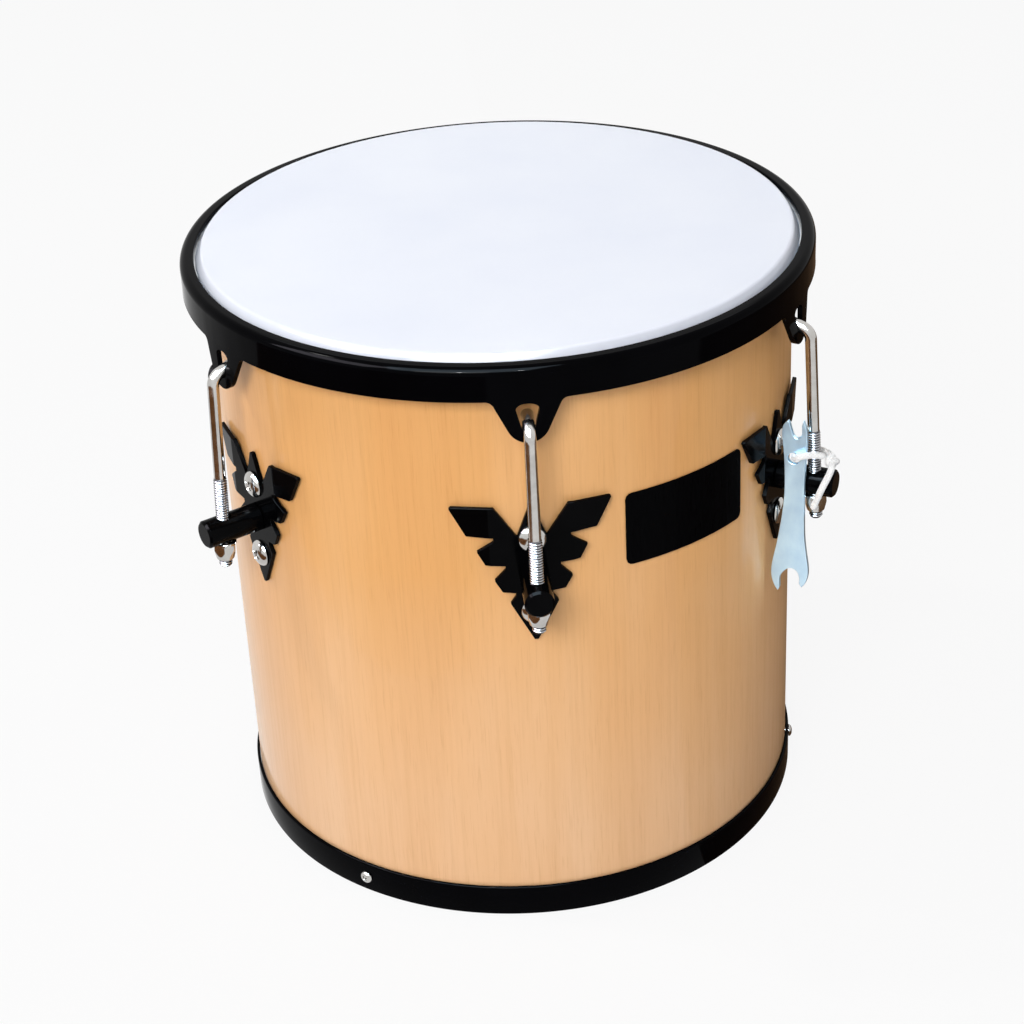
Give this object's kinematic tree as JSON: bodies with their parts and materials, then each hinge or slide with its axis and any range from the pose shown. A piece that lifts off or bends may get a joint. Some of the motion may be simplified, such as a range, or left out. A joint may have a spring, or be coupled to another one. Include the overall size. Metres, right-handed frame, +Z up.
{
  "type": "hand repique drum",
  "caption": "Short wooden hand drum with one plastic head, a pressed tension hoop drawn down by hooked rods and nuts on winged lug plates, and a small spanner tied to one rod.",
  "frame": {"origin": "centre of the shell's open end, on the surface that the drum stands on", "axes": "+Z up along the shell to the head, -Y through lug 0, lugs numbered in steps of 60 degrees about +Z from there"},
  "size_m": [0.3008, 0.3406, 0.3009],
  "materials": {
    "natural_wood": "clear satin lacquer over straight vertical grain",
    "black_paint": "gloss black",
    "chrome": "polished",
    "zinc_plate": "pale blue-white zinc plate",
    "white_film": "glossy white",
    "aluminium": "plain",
    "white_cotton": "soft white cord"
  },
  "bodies": {
    "drum": {"shell": "natural_wood", "bottom_band": "black_paint", "head_film": "white_film", "badge": "black_paint", "spanner_cord": "white_cotton", "cord_knot": "white_cotton", "band_screw_0": "chrome", "band_screw_1": "chrome", "band_screw_2": "chrome", "lug_plate_0": "black_paint", "lug_post_0": "black_paint", "upper_screw_0": "chrome", "upper_inner_nut_0": "zinc_plate", "lower_screw_0": "chrome", "lower_inner_nut_0": "zinc_plate", "lug_plate_1": "black_paint", "lug_post_1": "black_paint", "upper_screw_1": "chrome", "upper_inner_nut_1": "zinc_plate", "lower_screw_1": "chrome", "lower_inner_nut_1": "zinc_plate", "lug_plate_2": "black_paint", "lug_post_2": "black_paint", "upper_screw_2": "chrome", "upper_inner_nut_2": "zinc_plate", "lower_screw_2": "chrome", "lower_inner_nut_2": "zinc_plate", "lug_plate_3": "black_paint", "lug_post_3": "black_paint", "upper_screw_3": "chrome", "upper_inner_nut_3": "zinc_plate", "lower_screw_3": "chrome", "lower_inner_nut_3": "zinc_plate", "lug_plate_4": "black_paint", "lug_post_4": "black_paint", "upper_screw_4": "chrome", "upper_inner_nut_4": "zinc_plate", "lower_screw_4": "chrome", "lower_inner_nut_4": "zinc_plate", "lug_plate_5": "black_paint", "lug_post_5": "black_paint", "upper_screw_5": "chrome", "upper_inner_nut_5": "zinc_plate", "lower_screw_5": "chrome", "lower_inner_nut_5": "zinc_plate"},
    "hoop": {"counterhoop": "black_paint", "flesh_hoop": "aluminium", "tension_hook_0": "chrome", "tension_hook_1": "chrome", "tension_hook_2": "chrome", "tension_hook_3": "chrome", "tension_hook_4": "chrome", "tension_hook_5": "chrome"},
    "nut_0": {"tuning_nut_0": "chrome"},
    "nut_1": {"tuning_nut_1": "chrome"},
    "nut_2": {"tuning_nut_2": "chrome"},
    "nut_3": {"tuning_nut_3": "chrome"},
    "nut_4": {"tuning_nut_4": "chrome"},
    "nut_5": {"tuning_nut_5": "chrome"},
    "spanner": {"spanner": "zinc_plate"}
  },
  "joints": [
    {"name": "hoop_draw", "type": "slide", "parent": "drum", "child": "hoop", "axis": [0, 0, -1], "range_m": [-0.003, 0.006]},
    {"name": "nut_turn_0", "type": "hinge", "parent": "drum", "child": "nut_0", "pos_m": [0, -0.1604, 0.18711], "axis": [0, 0.0471, 0.9989], "range_deg": [-851, 1701]},
    {"name": "nut_turn_1", "type": "hinge", "parent": "drum", "child": "nut_1", "pos_m": [0.13891, -0.0802, 0.18711], "axis": [-0.0408, 0.0236, 0.9989], "range_deg": [-851, 1701]},
    {"name": "nut_turn_2", "type": "hinge", "parent": "drum", "child": "nut_2", "pos_m": [0.13891, 0.0802, 0.18711], "axis": [-0.0408, -0.0236, 0.9989], "range_deg": [-851, 1701]},
    {"name": "nut_turn_3", "type": "hinge", "parent": "drum", "child": "nut_3", "pos_m": [0, 0.1604, 0.18711], "axis": [0, -0.0471, 0.9989], "range_deg": [-851, 1701]},
    {"name": "nut_turn_4", "type": "hinge", "parent": "drum", "child": "nut_4", "pos_m": [-0.13891, 0.0802, 0.18711], "axis": [0.0408, -0.0236, 0.9989], "range_deg": [-851, 1701]},
    {"name": "nut_turn_5", "type": "hinge", "parent": "drum", "child": "nut_5", "pos_m": [-0.13891, -0.0802, 0.18711], "axis": [0.0408, 0.0236, 0.9989], "range_deg": [-851, 1701]},
    {"name": "spanner_swing", "type": "hinge", "parent": "drum", "child": "spanner", "pos_m": [0.13216, -0.0763, 0.2082], "axis": [-0.5, -0.866, 0], "range_deg": [-2, 14]}
  ],
  "couplings": [
    {"joint": "nut_turn_0", "follows": "hoop_draw", "rad_per_m": 4947.4},
    {"joint": "nut_turn_1", "follows": "hoop_draw", "rad_per_m": 4947.4},
    {"joint": "nut_turn_2", "follows": "hoop_draw", "rad_per_m": 4947.4},
    {"joint": "nut_turn_3", "follows": "hoop_draw", "rad_per_m": 4947.4},
    {"joint": "nut_turn_4", "follows": "hoop_draw", "rad_per_m": 4947.4},
    {"joint": "nut_turn_5", "follows": "hoop_draw", "rad_per_m": 4947.4}
  ]
}
